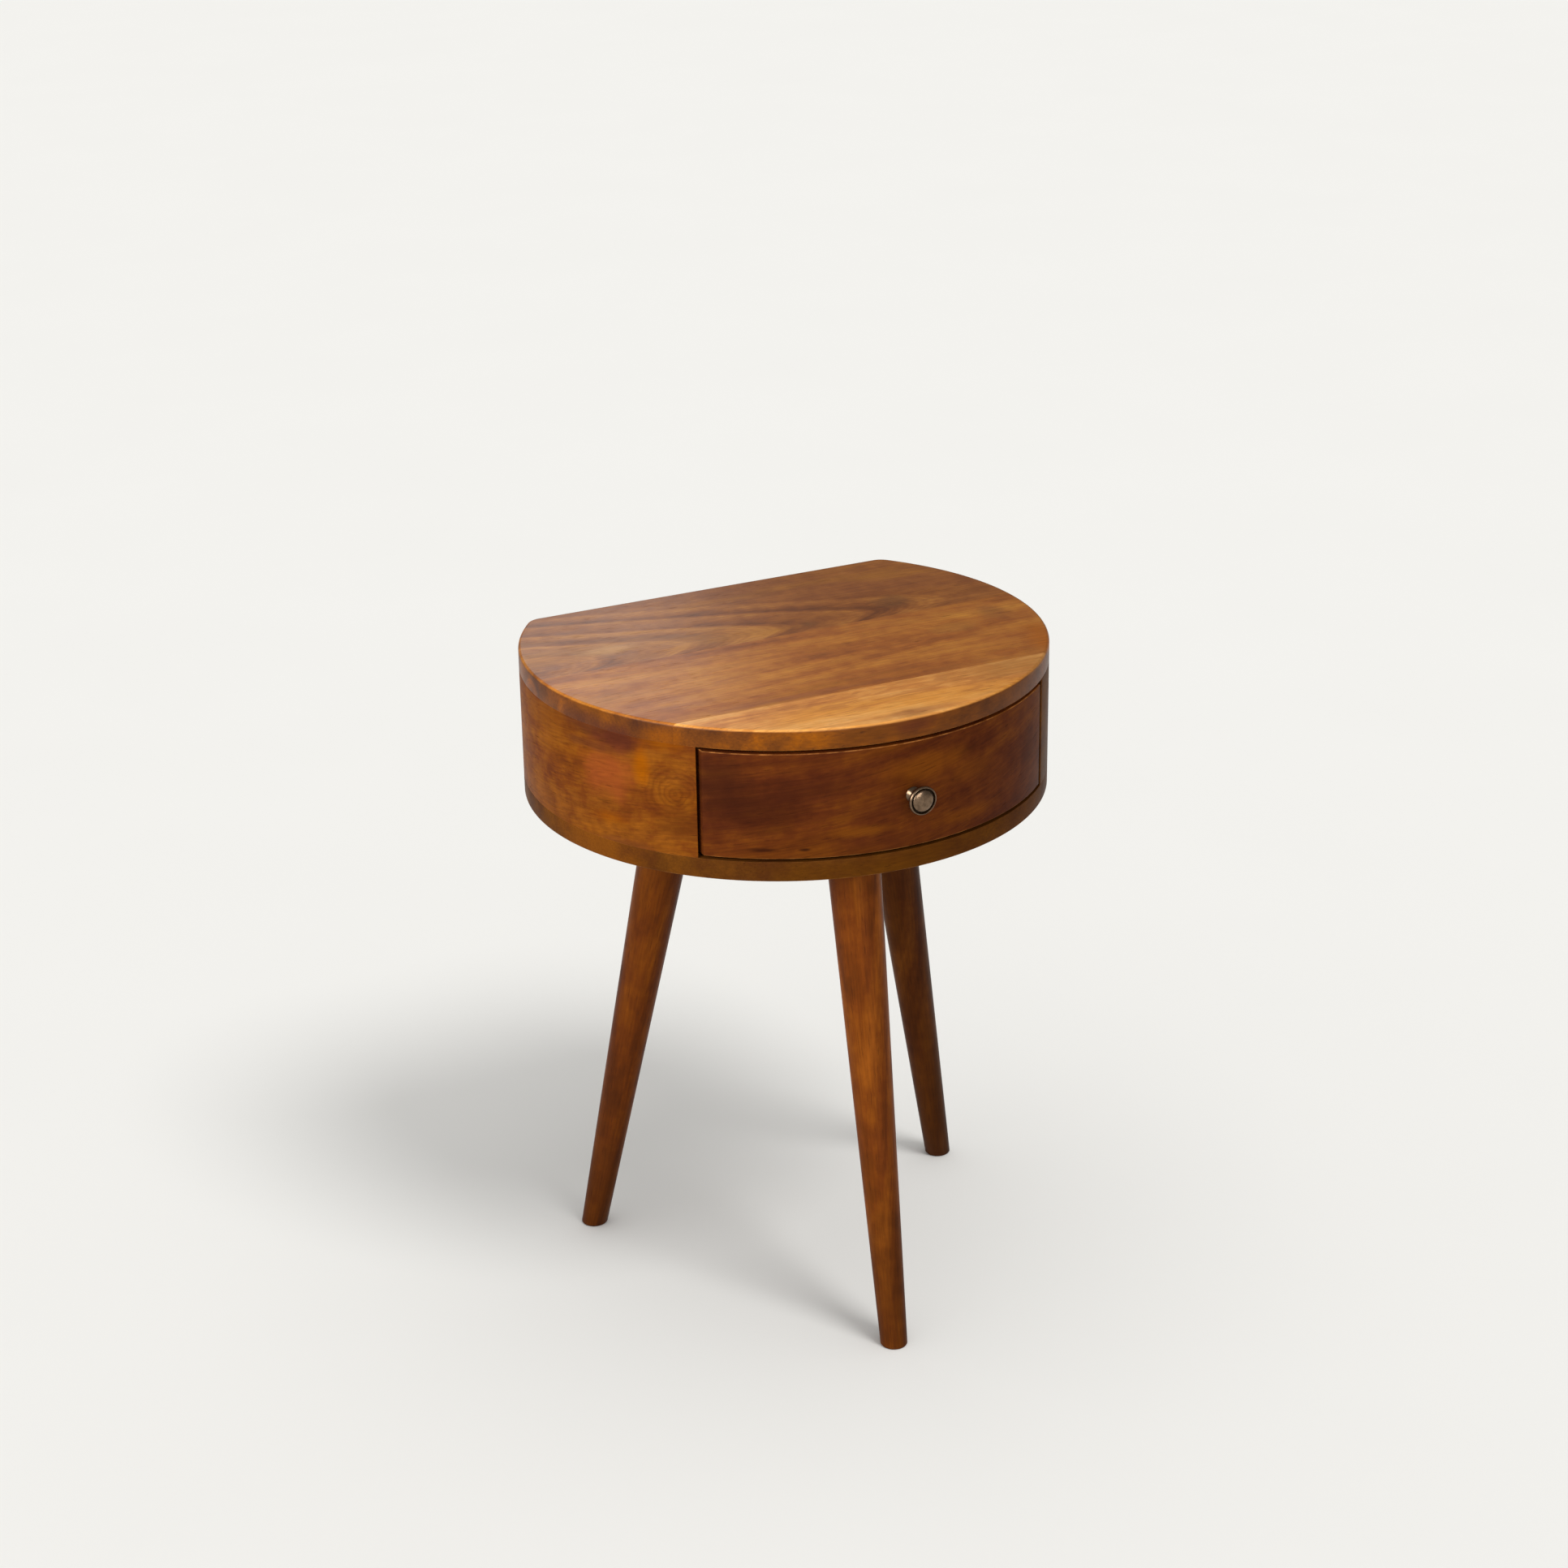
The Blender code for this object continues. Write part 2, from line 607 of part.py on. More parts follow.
leg_room = block("leg_room", (-WIDTH, -WIDTH, 0), (WIDTH, WIDTH, BODY_LOW - GAP), None)
top_panel = make_panel("top_panel", INSIDE_HIGH, HEIGHT, 1, TOP_EDGE)
bottom_panel = make_panel("bottom_panel", BODY_LOW, INSIDE_LOW, -1, LOWER_EDGE)
side_walls = {name: make_side(f"{name}_side", side) for name, side in SIDES}
add_carcass_dowels(top_panel, bottom_panel, side_walls, make_back_panel())
add_legs(bottom_panel)
make_guides(bottom_panel)
make_kickers(top_panel)
make_stop_rail(top_panel)
make_rear_stops()
drawer_front = make_drawer_front()
make_drawer_back(make_drawer_sides(drawer_front))
make_drawer_bottom()
make_knob()
add_knob_screw(drawer_front)
hang_drawer_on_slide()
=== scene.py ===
"""Looks of the half-round side table with a curved drawer: its woods and metals, the studio and the camera.

Units are metres and +Z is up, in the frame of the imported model. The drawer opens towards -Y.
Colours are six-digit sRGB codes.
"""

import json
import math

import bmesh
import bpy
from mathutils import Matrix, Vector


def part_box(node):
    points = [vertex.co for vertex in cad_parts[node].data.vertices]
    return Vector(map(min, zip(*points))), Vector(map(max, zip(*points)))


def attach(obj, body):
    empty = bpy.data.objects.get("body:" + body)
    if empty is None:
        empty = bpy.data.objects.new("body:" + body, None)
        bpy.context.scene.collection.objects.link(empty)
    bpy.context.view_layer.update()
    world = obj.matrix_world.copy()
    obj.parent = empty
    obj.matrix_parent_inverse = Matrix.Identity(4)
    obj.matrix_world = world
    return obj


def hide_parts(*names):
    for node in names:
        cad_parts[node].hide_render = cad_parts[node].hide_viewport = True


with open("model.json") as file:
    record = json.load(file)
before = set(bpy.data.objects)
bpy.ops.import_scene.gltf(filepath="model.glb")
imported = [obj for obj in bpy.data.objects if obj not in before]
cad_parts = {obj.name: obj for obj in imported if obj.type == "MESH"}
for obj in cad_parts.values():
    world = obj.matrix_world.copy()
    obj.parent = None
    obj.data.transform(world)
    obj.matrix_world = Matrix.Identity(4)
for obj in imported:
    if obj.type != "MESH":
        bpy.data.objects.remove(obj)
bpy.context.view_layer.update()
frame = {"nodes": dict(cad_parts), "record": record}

# Sizes that aren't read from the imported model
WALL = 0.020
CORNER_RADIUS = 0.016
SIDE_REVEAL = 0.003
LEG_TOP_RADIUS = 0.023
LEG_FOOT_RADIUS = 0.0115
TOP_TO_FOOT_REACH = 0.110 / 0.198
PLY_THICKNESS = 0.005

# Roundings
TOP_EDGE = 0.0025
LOWER_EDGE = 0.0015
SEAM_EDGE = 0.0002
DRAWER_EDGE = 0.0012
BOARD_EDGE = 0.0006
FOOT_EDGE = 0.0012

# The level faces of a rounded slab have a rim of this width, so that they shade flat
FLAT_MARGIN = 0.0003

# The two rear boards of the top are this wide, and the front one has the rest
BOARD_WIDTH = 0.145

# Steps along the curves
TOP_ARC_STEPS = 144
WALL_ARC_STEPS = 64
WALL_INNER_STEPS = 48
DRAWER_ARC_STEPS = 96
DRAWER_INNER_STEPS = 80
CORNER_STEPS = 12
ROUNDING_STEPS = 4
LEG_SECTORS = 48
LEG_LEVELS = 12
KNOB_SECTORS = 64
DOME_STEPS = 13

# An edge that bends by more than this is shaded sharp
SHARP_EDGE_ANGLE = math.radians(32)

# A corner that opens wider than this isn't rounded
FLAT_CORNER_ANGLE = math.radians(150)

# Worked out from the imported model
top_low, top_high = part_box("top_panel")
bottom_low, bottom_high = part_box("bottom_panel")
front_low, front_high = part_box("drawer_front")
knob_low, knob_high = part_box("knob")
RADIUS = (top_high.x - top_low.x) / 2
INNER_RADIUS = RADIUS - WALL
ARC_Y = top_low.y + RADIUS
BACK_Y = top_high.y
FLAT = BACK_Y - ARC_Y
PANEL = top_high.z - top_low.z
OPENING_HALF = front_high.x + SIDE_REVEAL
CORNER_ANGLE = math.pi - math.acos((FLAT - CORNER_RADIUS) / (RADIUS - CORNER_RADIUS))
CORNER_X = math.sqrt((RADIUS - CORNER_RADIUS) ** 2 - (FLAT - CORNER_RADIUS) ** 2)
BACK_PANEL_HALF = CORNER_X - CORNER_RADIUS
MIDDLE_Z = (bottom_high.z + top_low.z) / 2
SIDES = (("left", -1), ("right", 1))


# ---------------------------------------------------------------- meshes


def on_arc(radius, angle):
    """The point at that angle from the front, positive to the right, on a circle round the arc's centre."""
    return (radius * math.sin(angle), ARC_Y - radius * math.cos(angle))


def arc(radius, start, end, steps):
    return [on_arc(radius, start + (end - start) * i / steps) for i in range(steps + 1)]


def back_corner():
    """The rounded right corner, from the end of the front arc to the flat back."""
    turn = math.pi - CORNER_ANGLE
    angles = [CORNER_ANGLE + turn * i / CORNER_STEPS for i in range(1, CORNER_STEPS + 1)]
    centre_y = BACK_Y - CORNER_RADIUS
    return [(CORNER_X + CORNER_RADIUS * math.sin(a), centre_y - CORNER_RADIUS * math.cos(a)) for a in angles]


def mirrored(outline, side):
    """The outline for the right side (1), or its mirror image for the left one (-1), also anticlockwise."""
    return outline if side > 0 else [(-x, y) for x, y in reversed(outline)]


def filleted(outline, radius):
    """The outline with each sharp corner rounded."""
    points = [Vector(p) for p in outline]
    rounded = []
    for i, point in enumerate(points):
        back = (points[i - 1] - point).normalized()
        ahead = (points[(i + 1) % len(points)] - point).normalized()
        opening = back.angle(ahead)
        if opening > FLAT_CORNER_ANGLE:
            rounded.append(point)
            continue
        reach = radius / math.tan(opening / 2)
        centre = point + (back + ahead).normalized() * radius / math.sin(opening / 2)
        first = point + back * reach - centre
        last = point + ahead * reach - centre
        turn = first.angle_signed(last)
        for step in range(ROUNDING_STEPS + 1):
            rounded.append(centre + Matrix.Rotation(-turn * step / ROUNDING_STEPS, 2) @ first)
    return rounded


def inset(outline, distance):
    """The anticlockwise outline moved inwards."""
    points = [Vector(p) for p in outline]
    moved = []
    for i, point in enumerate(points):
        before = (point - points[i - 1]).normalized()
        after = (points[(i + 1) % len(points)] - point).normalized()
        normals = Vector((-before.y, before.x)), Vector((-after.y, after.x))
        moved.append(point + (normals[0] + normals[1]) * distance / (1 + normals[0].dot(normals[1])))
    return moved


def new_piece(name, shape, body, finish, stands_for):
    """A finished piece from a bmesh, which rides on a body and stands for CAD nodes."""
    bmesh.ops.recalc_face_normals(shape, faces=shape.faces)
    mesh = bpy.data.meshes.new(name)
    shape.to_mesh(mesh)
    shape.free()
    mesh.shade_smooth()
    mesh.set_sharp_from_angle(angle=SHARP_EDGE_ANGLE)
    mesh.materials.append(finish)
    piece = bpy.data.objects.new(name, mesh)
    bpy.context.scene.collection.objects.link(piece)
    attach(piece, body)
    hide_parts(*stands_for)


def stack(rings, hollowed=False):
    """A closed skin through rings of points, with one flat face at each end.
    A hollowed outline curves inwards somewhere, and triangles fill its ends instead."""
    shape = bmesh.new()
    made = [[shape.verts.new(point) for point in ring] for ring in rings]
    for lower, upper in zip(made, made[1:]):
        for i, vertex in enumerate(lower):
            following = (i + 1) % len(lower)
            shape.faces.new((vertex, lower[following], upper[following], upper[i]))
    if hollowed:
        for ring in (made[0], made[-1]):
            rim = [shape.edges.get((ring[i - 1], vertex)) for i, vertex in enumerate(ring)]
            bmesh.ops.triangle_fill(shape, use_beauty=True, edges=rim)
        return shape
    shape.faces.new(reversed(made[0]))
    shape.faces.new(made[-1])
    return shape


def rounded_slab(outline, low, high, low_edge, high_edge, hollowed=False):
    """A slab between two heights, with its lower and its upper rim rounded."""
    quarter = math.pi / 2
    levels = [(low_edge + FLAT_MARGIN, low)]
    for i in range(ROUNDING_STEPS + 1):
        turn = quarter * i / ROUNDING_STEPS
        levels.append((low_edge * (1 - math.sin(turn)), low + low_edge * (1 - math.cos(turn))))
    for i in range(ROUNDING_STEPS + 1):
        turn = quarter * (1 - i / ROUNDING_STEPS)
        levels.append((high_edge * (1 - math.sin(turn)), high - high_edge * (1 - math.cos(turn))))
    levels.append((high_edge + FLAT_MARGIN, high))
    return stack([[(*point, z) for point in inset(outline, distance)] for distance, z in levels], hollowed)


def lathe(profile, centre, axis, sectors):
    """A turned shape from (radius, height) points, with a flat face at both ends."""
    turn_to = Vector(axis).to_track_quat("Z", "Y").to_matrix()
    rings = []
    for radius, height in profile:
        ring = []
        for i in range(sectors):
            angle = math.tau * i / sectors
            point = Vector((radius * math.cos(angle), radius * math.sin(angle), height))
            ring.append(Vector(centre) + turn_to @ point)
        rings.append(ring)
    return stack(rings)


# ---------------------------------------------------------------- node trees


def linear(code):
    """The linear colour of a six-digit sRGB code."""
    channels = [int(code[i : i + 2], 16) / 255 for i in (0, 2, 4)]
    return [c / 12.92 if c < 0.04045 else ((c + 0.055) / 1.055) ** 2.4 for c in channels] + [1]


class Tree:
    """A material's node tree, with one short method for each kind of node that the finishes need."""

    def __init__(self, name):
        self.material = bpy.data.materials.new(name)
        self.material.use_nodes = True
        self.nodes = self.material.node_tree.nodes
        self.links = self.material.node_tree.links
        self.shader = self.nodes["Principled BSDF"]

    def put(self, socket, value):
        """Links the socket to another node's output, or sets its own value."""
        if isinstance(value, bpy.types.NodeSocket):
            self.links.new(value, socket)
        else:
            socket.default_value = value

    def place(self):
        """The place on the piece, in metres in the shared frame."""
        return self.nodes.new("ShaderNodeTexCoord").outputs["Object"]

    def math(self, operation, a, b=0.0):
        node = self.nodes.new("ShaderNodeMath")
        node.operation = operation
        self.put(node.inputs[0], a)
        self.put(node.inputs[1], b)
        return node.outputs[0]

    def vector(self, operation, a, b=(0, 0, 0)):
        node = self.nodes.new("ShaderNodeVectorMath")
        node.operation = operation
        self.put(node.inputs[0], a)
        self.put(node.inputs[1], b)
        return node.outputs["Value" if operation in ("DOT_PRODUCT", "LENGTH") else "Vector"]

    def combine(self, x, y, z):
        node = self.nodes.new("ShaderNodeCombineXYZ")
        for socket, value in zip(node.inputs, (x, y, z)):
            self.put(socket, value)
        return node.outputs[0]

    def separate(self, vector):
        node = self.nodes.new("ShaderNodeSeparateXYZ")
        self.put(node.inputs[0], vector)
        return node.outputs

    def noise(self, vector, scale=1.0, detail=3.0, roughness=0.55, distortion=0.0):
        node = self.nodes.new("ShaderNodeTexNoise")
        self.put(node.inputs["Vector"], vector)
        node.inputs["Scale"].default_value = scale
        node.inputs["Detail"].default_value = detail
        node.inputs["Roughness"].default_value = roughness
        node.inputs["Distortion"].default_value = distortion
        return node.outputs["Fac"]

    def bands(self, position):
        """Uneven bands along one number, which change about once for each unit of it."""
        node = self.nodes.new("ShaderNodeTexNoise")
        node.noise_dimensions = "1D"
        self.put(node.inputs["W"], position)
        node.inputs["Scale"].default_value = 1
        node.inputs["Detail"].default_value = 2.5
        return node.outputs["Fac"]

    def between(self, value, low, high, to_low=0.0, to_high=1.0):
        """A smooth step, from to_low where the value is at low to to_high where it's at high."""
        node = self.nodes.new("ShaderNodeMapRange")
        node.interpolation_type = "SMOOTHSTEP"
        for socket, number in zip(node.inputs, (value, low, high, to_low, to_high)):
            self.put(socket, number)
        return node.outputs[0]

    def swing(self, value, amount):
        """How far the value is from one half, times the amount."""
        return self.math("MULTIPLY", self.math("SUBTRACT", value, 0.5), amount)

    def levelness(self):
        """1 where the surface faces straight up or down, and 0 where it stands upright."""
        normal = self.nodes.new("ShaderNodeNewGeometry").outputs["Normal"]
        return self.math("ABSOLUTE", self.separate(normal)[2])

    def ramp(self, value, stops):
        """The colour that belongs to the value, between (position, colour) stops."""
        node = self.nodes.new("ShaderNodeValToRGB")
        elements = node.color_ramp.elements
        while len(elements) < len(stops):
            elements.new(0.5)
        for element, (position, colour) in zip(elements, stops):
            element.position = position
            element.color = colour
        self.put(node.inputs[0], value)
        return node.outputs[0]

    def mix(self, amount, a, b):
        """Colour a where the amount is 0, and colour b where it is 1."""
        node = self.nodes.new("ShaderNodeMix")
        node.data_type = "RGBA"
        self.put(node.inputs[0], amount)
        self.put(node.inputs[6], a)
        self.put(node.inputs[7], b)
        return node.outputs[2]

    def bump(self, height, distance, strength):
        node = self.nodes.new("ShaderNodeBump")
        node.inputs["Distance"].default_value = distance
        node.inputs["Strength"].default_value = strength
        self.put(node.inputs["Height"], height)
        self.put(self.shader.inputs["Normal"], node.outputs[0])

    def finish(self, colour, roughness, metallic=0.0):
        self.put(self.shader.inputs["Base Color"], colour)
        self.put(self.shader.inputs["Roughness"], roughness)
        self.shader.inputs["Metallic"].default_value = metallic
        return self.material


class Wood(Tree):
    """A lacquered wood. Its growth rings run round a pith line, and its fibres along it."""

    def __init__(self, name, grain, pith, seed, warp=0.010, wrapped=False):
        super().__init__(name)
        self.place_vector = self.place()
        place = self.round_the_arc() if wrapped else self.place_vector
        along = Vector(grain).normalized()
        across = along.cross(Vector((0, 0, 1)) if abs(along.z) < 0.9 else Vector((0, 1, 0))).normalized()
        deep = along.cross(across)
        offset = self.vector("SUBTRACT", place, tuple(pith))
        self.along = self.vector("DOT_PRODUCT", offset, tuple(along))
        self.across = self.vector("DOT_PRODUCT", offset, tuple(across))
        self.deep = self.vector("DOT_PRODUCT", offset, tuple(deep))
        self.seed = seed
        drift = self.swing(self.stretched(3, 11, detail=2.0), warp * 2)
        waver = self.swing(self.stretched(9, 40, detail=2.0, shift=7), warp / 2)
        self.across = self.math("ADD", self.across, drift)
        self.deep = self.math("ADD", self.deep, waver)

    def round_the_arc(self):
        """Places as (distance along the curved front, depth out from it, height)."""
        x, y, z = self.separate(self.place_vector)
        ahead = self.math("SUBTRACT", ARC_Y, y)
        angle = self.math("ARCTAN2", x, ahead)
        radius = self.vector("LENGTH", self.combine(x, ahead, 0))
        return self.combine(self.math("MULTIPLY", angle, RADIUS), self.math("SUBTRACT", radius, RADIUS), z)

    def stretched(self, along, across, detail=3.0, shift=0.0):
        """Noise with this many changes for each metre along the fibres and across them."""
        x = self.math("MULTIPLY", self.along, along)
        y = self.math("MULTIPLY", self.across, across)
        z = self.math("MULTIPLY", self.deep, across)
        where = self.vector("ADD", self.combine(x, y, z), (self.seed + shift, self.seed * 2.3, shift * 1.7))
        return self.noise(where, 1, detail)

    def rings(self, spacing, lean, phase=0.0, last=None, fine_lines=5):
        """Growth rings: each brightens outwards and falls back to its dark line, with fine lines all over.
        Where they lean along the fibres, a flat cut shows pointed arches. They fade beyond the last one."""
        radius = self.vector("LENGTH", self.combine(self.across, self.deep, 0))
        distance = self.math("ADD", radius, self.math("MULTIPLY", self.along, lean))
        count = self.math("ADD", self.math("DIVIDE", distance, spacing), phase)
        ring = self.math("FRACT", count)
        rise = self.math("MULTIPLY", self.between(ring, 0.0, 0.7), self.between(ring, 1.0, 0.74))
        fine = self.math("SINE", self.math("MULTIPLY", count, fine_lines * math.tau))
        rise = self.math("ADD", self.math("MULTIPLY", fine, 0.12), rise)
        strength = self.between(self.bands(self.math("ADD", count, self.seed)), 0.35, 0.6, 0.25, 1.0)
        if last is not None:
            strength = self.math("MULTIPLY", strength, self.between(count, last + 1.4, last + 0.1))
        return self.math("ADD", self.swing(rise, strength), 0.5)

    def tinted(self, tone, palette, mauve, gold):
        """The palette's four colours along the tone, with clouds of its mauve and its golden tint."""
        codes = palette[:4]
        colour = self.ramp(tone, [(0.22 + 0.18 * i, linear(code)) for i, code in enumerate(codes)])
        cloud = self.between(self.stretched(4, 16, shift=21), 0.46, 0.68, 0, mauve)
        colour = self.mix(cloud, colour, linear(palette[4]))
        cloud = self.between(self.stretched(5, 22, shift=43), 0.50, 0.70, 0, gold)
        return self.mix(cloud, colour, linear(palette[5]))

    def away_from(self, centre, size, ragged, raggedness):
        """The distance from a place, in sizes along X, Y and Z, with a ragged outline."""
        away = self.vector("SUBTRACT", self.place_vector, centre)
        away = self.vector("LENGTH", self.vector("DIVIDE", away, size))
        return self.math("ADD", away, self.swing(ragged, raggedness))

    def blot(self, colour, tint, centre, size, amount):
        """A soft-edged patch of another tint round a place, with its size along X, Y and Z."""
        away = self.away_from(centre, size, self.noise(self.place_vector, 45, 3), 1.1)
        inside = self.between(away, 1.15, 0.25, 0, amount)
        return self.mix(inside, colour, linear(tint))

    def whorl(self, colour, tint, centre, size, lines, amount):
        """Faint rings of end grain round a place, with their reach along X, Y and Z."""
        away = self.away_from(centre, size, self.noise(self.place_vector, 60, 2), 0.35)
        wave = self.math("SINE", self.math("MULTIPLY", away, lines * math.tau))
        inside = self.between(away, 1.1, 0.5, 0, amount)
        strength = self.math("MULTIPLY", self.between(wave, -0.4, 0.9), inside)
        return self.mix(strength, colour, linear(tint))

    def flecks(self):
        """Short slanting dashes across the fibres, in loose groups."""
        slant = self.math("ADD", self.along, self.math("MULTIPLY", self.across, 1.2))
        slant = self.math("MULTIPLY", slant, 36)
        where = self.combine(slant, self.math("MULTIPLY", self.across, 150), self.deep)
        dashes = self.between(self.noise(where, 1, 2, distortion=0.6), 0.47, 0.60)
        group = self.between(self.stretched(9, 26, shift=17), 0.38, 0.58)
        return self.math("MULTIPLY", dashes, group)

    def rubbed_and_highlit(self, amount):
        """Where hands have rubbed the stain off the rounded upper and lower edges, and where a highlight is
        painted along them.
        """
        level = self.levelness()
        edge = self.math("MULTIPLY", self.between(level, 0.25, 0.5), self.between(level, 0.98, 0.85))
        patchy = self.between(self.noise(self.place_vector, 90, 4), 0.38, 0.62, 0.25, 1.0)
        return self.math("MULTIPLY", self.math("MULTIPLY", edge, patchy), amount)

    def lacquer(self, colour, roughness, specular):
        """The lacquered surface: fine fibres and open pores, in colour, gloss and relief."""
        fibres = self.stretched(22, 620, detail=2.0, shift=5)
        pores = self.between(self.stretched(55, 900, detail=1.0, shift=13), 0.66, 0.74)
        colour = self.mix(self.between(fibres, 0.3, 0.7, 0.20, 0), colour, linear(PORE_TINT))
        colour = self.mix(self.math("MULTIPLY", pores, 0.35), colour, linear(PORE_TINT))
        clouded = self.math("MULTIPLY", self.stretched(20, 60, shift=31), 0.10)
        gloss = self.math("ADD", roughness - 0.05, clouded)
        gloss = self.math("ADD", gloss, self.math("MULTIPLY", pores, 0.15))
        relief = self.math("SUBTRACT", self.math("MULTIPLY", fibres, 0.35), pores)
        self.bump(relief, 0.00010, 0.5)
        self.shader.inputs["Specular IOR Level"].default_value = specular
        return self.finish(colour, gloss)


# What a stained wood looks like unless its own finish says otherwise: its growth rings (metres between them,
# lean, phase, the last one), its shares of figure, streaks, mottle and speckle, its clouds, wear with a
# painted highlight, and gloss
LOOK = dict(spacing=0.010, lean=0.05, phase=0.0, last=None, fine_lines=5, warp=0.010, wrapped=False,
            figure=0.30, streaks=0.30, streak_count=45, mottle=0.12, speckle=0.06, mauve=0.35, gold=0.35,
            flecks=0.0, worn=0.0, roughness=0.38, specular=0.04, side_palette=None, blots=(), whorls=())


def stained_wood(name, grain, pith, seed, palette, **changes):
    """Stained hardwood: dark to light rings and streaks, with mauve and golden clouds.
    A side palette colours the upright faces, and the palette itself the level ones."""
    look = LOOK | changes
    wood = Wood(name, grain, pith, seed, look["warp"], look["wrapped"])
    rings = wood.rings(*(look[key] for key in ("spacing", "lean", "phase", "last", "fine_lines")))
    parts = (
        (look["figure"], rings),
        (look["streaks"], wood.between(wood.stretched(3.5, look["streak_count"], shift=3), 0.22, 0.78)),
        (look["mottle"], wood.between(wood.noise(wood.place_vector, 60, 4), 0.3, 0.7)),
        (look["speckle"], wood.between(wood.stretched(90, 420, detail=2.0, shift=29), 0.3, 0.7)),
    )
    cloud = wood.between(wood.stretched(6, 18, shift=9), 0.3, 0.7, 0.2, 0.8)
    tone = wood.math("MULTIPLY", cloud, 1 - sum(share for share, _ in parts))
    for share, pattern in parts:
        tone = wood.math("ADD", tone, wood.math("MULTIPLY", pattern, share))
    colour = wood.tinted(tone, palette, look["mauve"], look["gold"])
    if look["side_palette"]:
        side = wood.tinted(tone, look["side_palette"], look["mauve"], look["gold"])
        if look["flecks"]:
            flecks = wood.math("MULTIPLY", wood.flecks(), look["flecks"])
            colour = wood.mix(flecks, colour, linear(palette[0]))
        colour = wood.mix(wood.between(wood.levelness(), 0.25, 0.85), side, colour)
    for blot in look["blots"]:
        colour = wood.blot(colour, *blot)
    for whorl in look["whorls"]:
        colour = wood.whorl(colour, *whorl)
    # The rounded edges turn paler: partly real wear, partly a painted highlight
    if look["worn"]:
        colour = wood.mix(wood.rubbed_and_highlit(look["worn"]), colour, linear(BARE_WOOD_AND_HIGHLIGHT_TINT))
    return wood.lacquer(colour, look["roughness"], look["specular"])


# Stained palettes: dark, middle, light, bright, mauve cloud, golden cloud
TOP_TONES = ("743e14", "8e501c", "a66426", "be7c32", "864828", "bc7a1e")
MIDDLE_TONES = ("8c4c1a", "a65e20", "bc7428", "cc8630", "944e26", "c47e1c")
FRONT_BOARD_TONES = ("be7434", "dc9042", "eca656", "f6b66a", "c47c38", "ec9e32")
EDGE_TONES = ("42220e", "542c0c", "66360c", "824606", "4a2418", "7a4202")
BODY_TONES = ("58290c", "66330c", "74400e", "834a10", "4e2414", "784202")
BOTTOM_TONES = ("40200e", "48260c", "522e0c", "5c340c", "40200f", "583202")
# The right wall's palette is a darker copy of the body palette, as painted shade
SHADED_RIGHT_WALL_TONES = ("381c0a", "48260c", "543010", "5e3810", "3a2010", "543204")
DRAWER_TONES = ("3a180a", "481f0b", "55280c", "64340c", "3c1810", "623404")
LEG_TONES = ("462008", "562808", "643208", "763e0c", "4c2212", "743c02")
# The front leg's palette is a lighter copy of the leg palette, as painted light
LIT_FRONT_LEG_TONES = ("542808", "64300a", "743c0c", "864810", "582814", "844604")
SHADED_LEG_TONES = ("341604", "401d05", "4c2606", "5a300a", "381a0e", "563002")

# Plain palettes: dark, middle, light
INNER_TONES = ("7a5230", "93663c", "a87a4c")
DRAWER_BOX_TONES = ("6a4022", "83522c", "986538")
BEECH_TONES = ("a9824f", "bd965f", "cda873")
PLY_TONES = ("b08a5c", "c29c6c", "cfac7e")

# Single tints
PORE_TINT = "1c0a04"
# Pale tint of rubbed edges, which also stands for a painted highlight along them
BARE_WOOD_AND_HIGHLIGHT_TINT = "b4763c"
# Painted shade that darkens each leg towards its foot
LEG_FOOT_SHADE_TINT = "3a1c06"
PLY_EDGE_TINTS = ("8a6238", "caa273")
# Painted shade in the knob's groove
GROOVE_SHADE_TINT = "140e0a"


def plain_wood(name, grain, seed, palette, roughness=0.55):
    """Unlacquered wood inside the table."""
    wood = Wood(name, grain, (0.03, -0.12, 0.35), seed, 0.008)
    tone = wood.math("MULTIPLY", wood.rings(0.008, 0.03), 0.4)
    tone = wood.math("ADD", tone, wood.math("MULTIPLY", wood.stretched(5, 120, shift=3), 0.6))
    colours = [linear(code) for code in palette]
    return wood.lacquer(wood.ramp(tone, list(zip((0.30, 0.5, 0.70), colours))), roughness, 0.3)


def layered_ply(name, low, thickness):
    """Plywood: a plain face, and thin crossed layers on its edges."""
    wood = Wood(name, (1, 0, 0), (0, 0, 0.2), 6.0, 0.008)
    colours = [linear(code) for code in PLY_TONES]
    face = wood.ramp(wood.stretched(6, 90, shift=3), list(zip((0.38, 0.5, 0.62), colours)))
    height = wood.math("SUBTRACT", wood.separate(wood.place_vector)[2], low)
    layer = wood.math("SINE", wood.math("MULTIPLY", height, 3 * math.tau / thickness))
    edge = wood.mix(wood.between(layer, -0.2, 0.2), *(linear(code) for code in PLY_EDGE_TINTS))
    flat = wood.between(wood.levelness(), 0.4, 0.8)
    return wood.lacquer(wood.mix(flat, edge, face), 0.6, 0.3)


